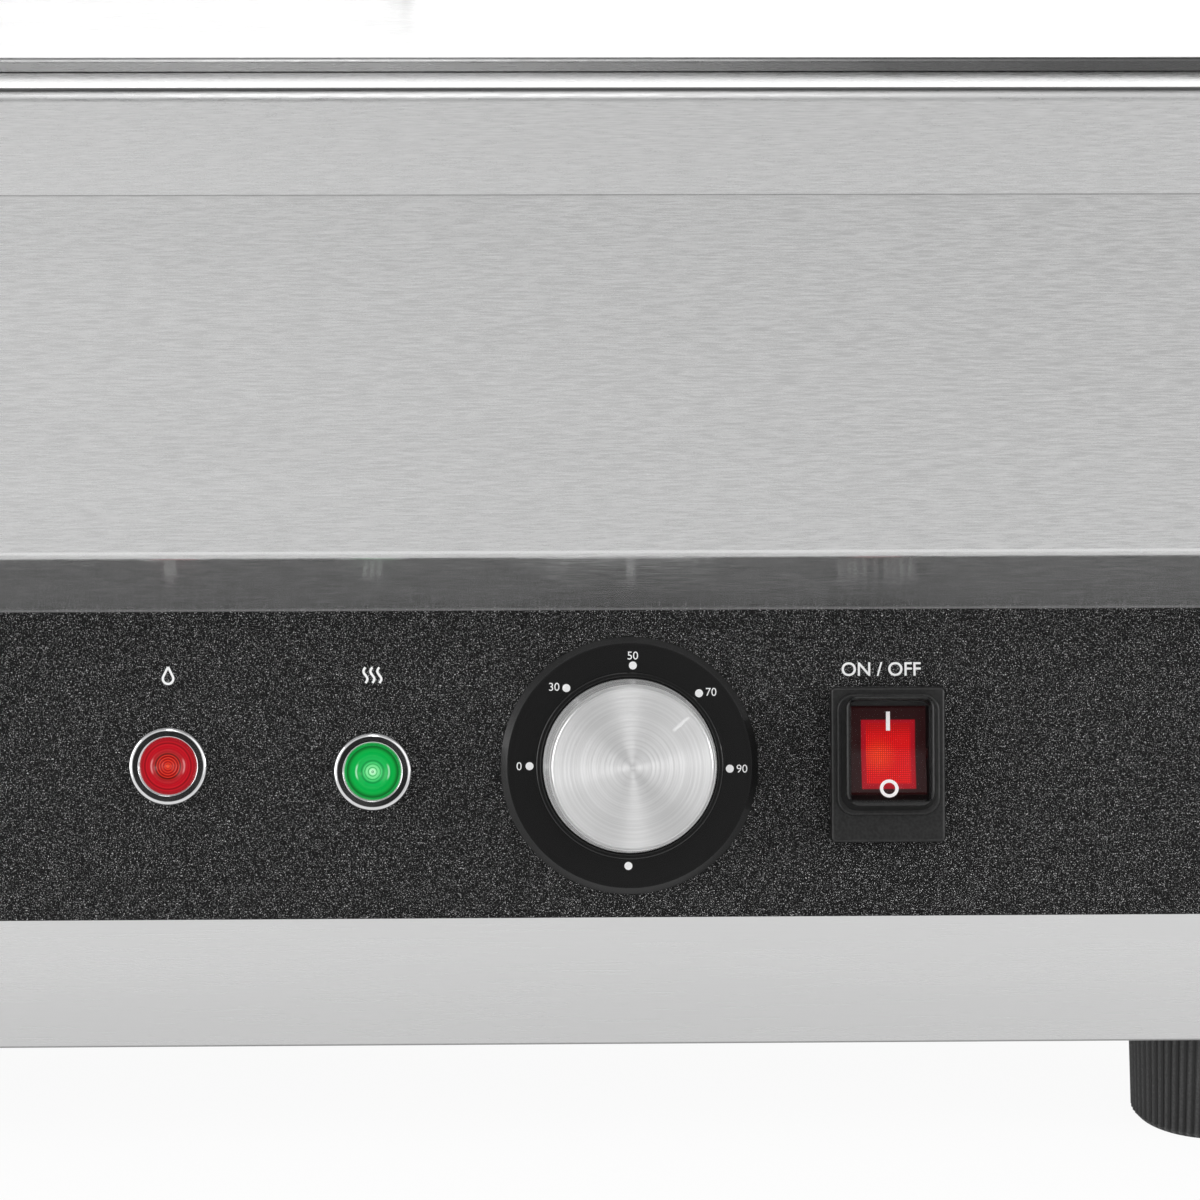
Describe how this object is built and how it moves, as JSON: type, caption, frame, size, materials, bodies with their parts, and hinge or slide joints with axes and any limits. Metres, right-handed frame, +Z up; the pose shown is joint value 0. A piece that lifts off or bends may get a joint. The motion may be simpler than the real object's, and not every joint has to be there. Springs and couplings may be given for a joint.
{
  "type": "electric countertop food warmer",
  "caption": "Water-bath countertop food warmer: stainless body with leaning black control panel, heated tank, food pans, flat hinged lid, drain valve and screw feet.",
  "frame": {"origin": "under the middle of the box round the whole object at rest, at the level the feet stand on", "axes": "+X to the right as the operator sees it, +Y to the rear (the hinges), +Z up"},
  "size_m": [0.6312, 0.4104, 0.2911],
  "materials": {
    "brushed_stainless": "brushed along the length, grain 0.2 mm",
    "smooth_stainless": "fine satin",
    "pan_stainless": "bright drawn",
    "black_powder_coat": "fine textured powder coat",
    "cover_steel": "plain zinc-plated",
    "fastener_steel": "bright zinc-plated",
    "hinge_stainless": "polished",
    "heater_sheath": "heat-darkened sheath",
    "copper": "drawn copper",
    "phenolic": "moulded phenolic",
    "black_gloss": "glossy black",
    "spun_aluminium": "face turned in fine rings",
    "chrome": "polished plating",
    "red_lens": "clear red moulding",
    "green_lens": "clear green moulding",
    "black_nylon": "moulded nylon",
    "red_rocker": "lit translucent red",
    "smoky_cover": "smoky translucent splash cover",
    "foot_black": "ribbed black moulding",
    "grip_vinyl": "dipped vinyl"
  },
  "bodies": {
    "body": {"body_shell": "brushed_stainless", "top_deck": "brushed_stainless", "control_panel": "black_powder_coat", "base_frame": "smooth_stainless", "bottom_cover": "cover_steel", "cover_screws": "fastener_steel", "foot_studs": "fastener_steel", "foot_nuts": "fastener_steel", "water_tank": "smooth_stainless", "divider_bar": "smooth_stainless", "food_pan_left": "pan_stainless", "food_pan_right": "pan_stainless", "heater_element": "heater_sheath", "heater_bushings": "fastener_steel", "heater_rails": "smooth_stainless", "sensing_bulb": "copper", "bulb_gland": "copper", "bulb_clips": "smooth_stainless", "limit_thermostat": "phenolic", "terminal_block": "phenolic", "lamp_nuts": "fastener_steel", "dial_plate": "black_gloss", "thermostat_body": "phenolic", "thermostat_screws": "fastener_steel", "switch_body": "black_nylon", "switch_boot": "smoky_cover", "cable_gland": "black_nylon", "gland_nut": "black_nylon", "drain_pipe": "chrome", "drain_lock_nut": "chrome", "drain_valve_body": "chrome", "hinge_fixed_leaves": "hinge_stainless", "hinge_pins": "fastener_steel", "deck_hinge_screws": "fastener_steel", "dry_lamp_bezel": "chrome", "dry_lamp_lens": "red_lens", "dry_lamp_body": "phenolic", "heat_lamp_bezel": "chrome", "heat_lamp_lens": "green_lens", "heat_lamp_body": "phenolic"},
    "lid": {"lid": "brushed_stainless", "lid_handle": "hinge_stainless", "handle_washers": "hinge_stainless", "handle_screws": "fastener_steel", "hinge_moving_leaves": "hinge_stainless", "lid_hinge_screws": "fastener_steel"},
    "knob": {"thermostat_shaft": "fastener_steel", "thermostat_knob": "spun_aluminium"},
    "rocker": {"switch_rocker": "red_rocker"},
    "drain_handle": {"drain_ball": "chrome", "drain_stem": "chrome", "drain_lever": "chrome", "lever_grip": "grip_vinyl"},
    "foot_front_left": {"foot_front_left": "foot_black"},
    "foot_front_right": {"foot_front_right": "foot_black"},
    "foot_rear_left": {"foot_rear_left": "foot_black"},
    "foot_rear_right": {"foot_rear_right": "foot_black"}
  },
  "joints": [
    {"name": "lid_hinge", "type": "hinge", "parent": "body", "child": "lid", "pos_m": [0.0244, 0.17393, 0.25759], "axis": [-1, 0, 0], "range_deg": [0, 100]},
    {"name": "thermostat_turn", "type": "hinge", "parent": "body", "child": "knob", "pos_m": [0.1306, -0.18052, 0.09322], "axis": [0, -0.9563, 0.2924], "range_deg": [-44, 138]},
    {"name": "power_rocker", "type": "hinge", "parent": "body", "child": "rocker", "pos_m": [0.1902, -0.17791, 0.09493], "axis": [1, 0, 0], "range_deg": [0, 18]},
    {"name": "drain_turn", "type": "hinge", "parent": "body", "child": "drain_handle", "pos_m": [-0.2936, -0.10077, 0.09859], "axis": [0, 0, 1], "range_deg": [0, 90]},
    {"name": "foot_front_left_turn", "type": "hinge", "parent": "body", "child": "foot_front_left", "pos_m": [-0.2222, -0.16477, 0.0142], "axis": [0, 0, 1], "continuous": true},
    {"name": "foot_front_right_turn", "type": "hinge", "parent": "body", "child": "foot_front_right", "pos_m": [0.271, -0.16477, 0.0142], "axis": [0, 0, 1], "continuous": true},
    {"name": "foot_rear_left_turn", "type": "hinge", "parent": "body", "child": "foot_rear_left", "pos_m": [-0.2222, 0.16323, 0.0142], "axis": [0, 0, 1], "continuous": true},
    {"name": "foot_rear_right_turn", "type": "hinge", "parent": "body", "child": "foot_rear_right", "pos_m": [0.271, 0.16323, 0.0142], "axis": [0, 0, 1], "continuous": true}
  ]
}
